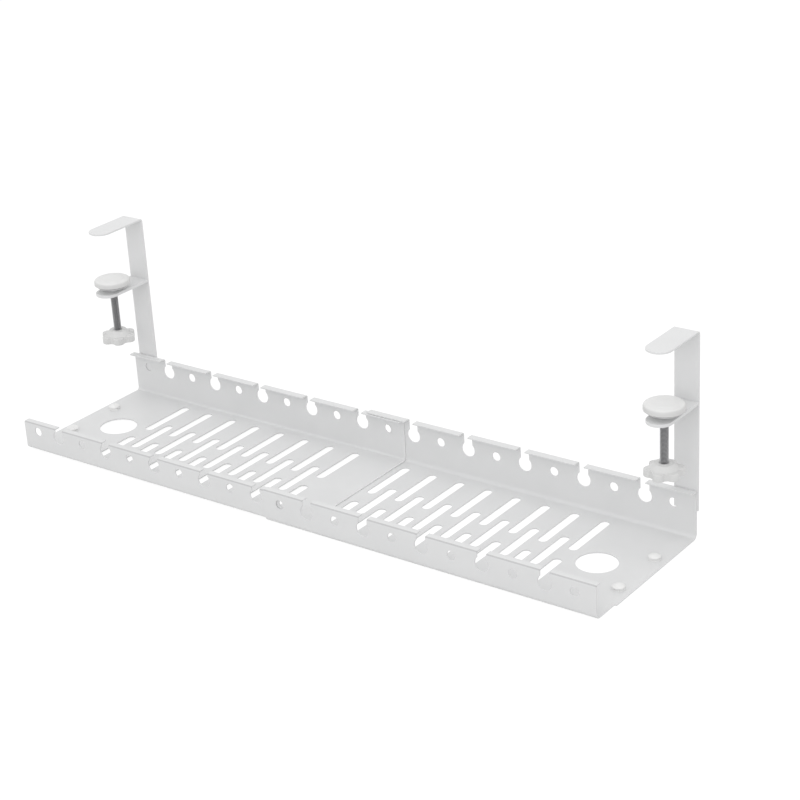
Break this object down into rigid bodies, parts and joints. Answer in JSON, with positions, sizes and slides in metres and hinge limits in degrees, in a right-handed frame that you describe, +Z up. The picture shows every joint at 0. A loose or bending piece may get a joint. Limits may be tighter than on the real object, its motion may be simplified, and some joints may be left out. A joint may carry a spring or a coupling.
{
  "type": "under-desk cable tray",
  "caption": "Telescoping sheet-steel tray with slotted floor, keyhole-notched walls and a screw clamp at each end, hung under a desk to hold cables.",
  "frame": {"origin": "on the underside of the outer half's floor, midway along the overlap of the halves and midway between the walls", "axes": "+X along the tray from the inner half to the outer half, +Y from the front wall to the back wall that carries the clamps, +Z up"},
  "size_m": [0.7024, 0.177, 0.206],
  "materials": {
    "powder_coat": "white powder coat on sheet steel, low sheen, very fine texture",
    "screw_steel": "bright zinc-plated screw",
    "dark_steel": "dark, blackened steel disc",
    "white_plastic": "white moulded plastic, smooth, low sheen"
  },
  "bodies": {
    "outer_tray": {"outer_half": "powder_coat", "right_strap": "powder_coat", "right_jaw": "powder_coat", "outer_front_stud": "white_plastic", "outer_back_stud": "white_plastic"},
    "inner_tray": {"inner_half": "powder_coat", "left_strap": "powder_coat", "left_jaw": "powder_coat", "inner_front_stud": "white_plastic", "inner_back_stud": "white_plastic"},
    "right_pad": {"right_pad_plate": "dark_steel", "right_pad_cap": "white_plastic"},
    "right_spindle": {"right_screw": "screw_steel", "right_knob": "white_plastic"},
    "left_pad": {"left_pad_plate": "dark_steel", "left_pad_cap": "white_plastic"},
    "left_spindle": {"left_screw": "screw_steel", "left_knob": "white_plastic"}
  },
  "joints": [
    {"name": "tray_slide", "type": "slide", "parent": "outer_tray", "child": "inner_tray", "axis": [1, 0, 0], "range_m": [0, 0.29]},
    {"name": "right_pad_lift", "type": "slide", "parent": "outer_tray", "child": "right_pad", "axis": [0, 0, 1], "range_m": [0, 0.04]},
    {"name": "right_screw_turn", "type": "hinge", "parent": "right_pad", "child": "right_spindle", "pos_m": [0.3381, 0.0471, 0.141], "axis": [0, 0, 1], "range_deg": [0, 11522]},
    {"name": "left_pad_lift", "type": "slide", "parent": "inner_tray", "child": "left_pad", "axis": [0, 0, 1], "range_m": [0, 0.04]},
    {"name": "left_screw_turn", "type": "hinge", "parent": "left_pad", "child": "left_spindle", "pos_m": [-0.3263, 0.0456, 0.141], "axis": [0, 0, 1], "range_deg": [0, 11522]}
  ],
  "couplings": [
    {"joint": "right_screw_turn", "follows": "right_pad_lift", "rad_per_m": 5026.5},
    {"joint": "left_screw_turn", "follows": "left_pad_lift", "rad_per_m": 5026.5}
  ]
}
